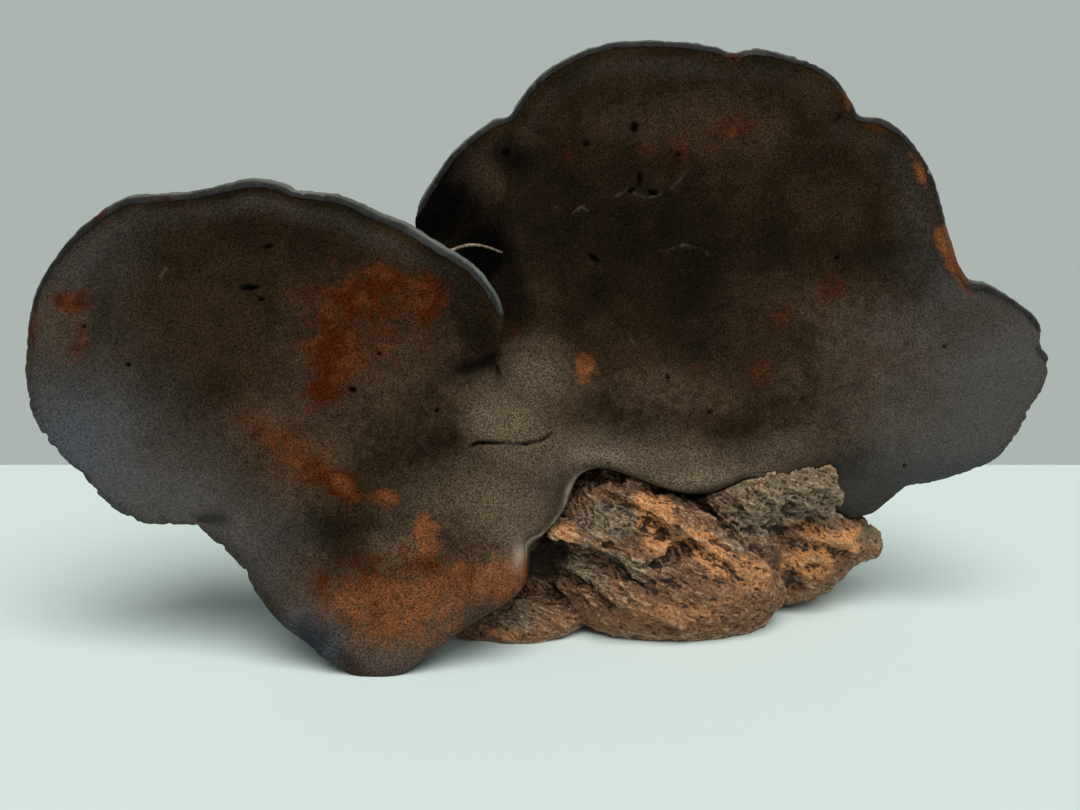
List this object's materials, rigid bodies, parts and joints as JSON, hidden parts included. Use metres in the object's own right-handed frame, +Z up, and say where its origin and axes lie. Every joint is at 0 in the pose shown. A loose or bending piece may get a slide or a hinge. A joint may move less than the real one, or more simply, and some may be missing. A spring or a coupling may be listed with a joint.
{
  "type": "bracket fungus",
  "caption": "Dried bracket fungus of fused rounded fans with a dark pore face, standing upright on its torn rust-brown woody base.",
  "frame": {"origin": "middle of the flat cut under the woody base", "axes": "+X along the length, from the smaller fan to the larger one; +Y from the pore face to the crust, the least extent; +Z up"},
  "size_m": [0.3708, 0.1138, 0.2191],
  "materials": {
    "fungus_crust": "dry, very dark brown pore face with rust-orange worn patches and a grey-black crust at the margin",
    "torn_wood": "matt, rough and fibrous, rust-orange to grey-brown"
  },
  "bodies": {
    "root": {"bracket": "fungus_crust", "woody_base": "torn_wood"}
  },
  "joints": []
}
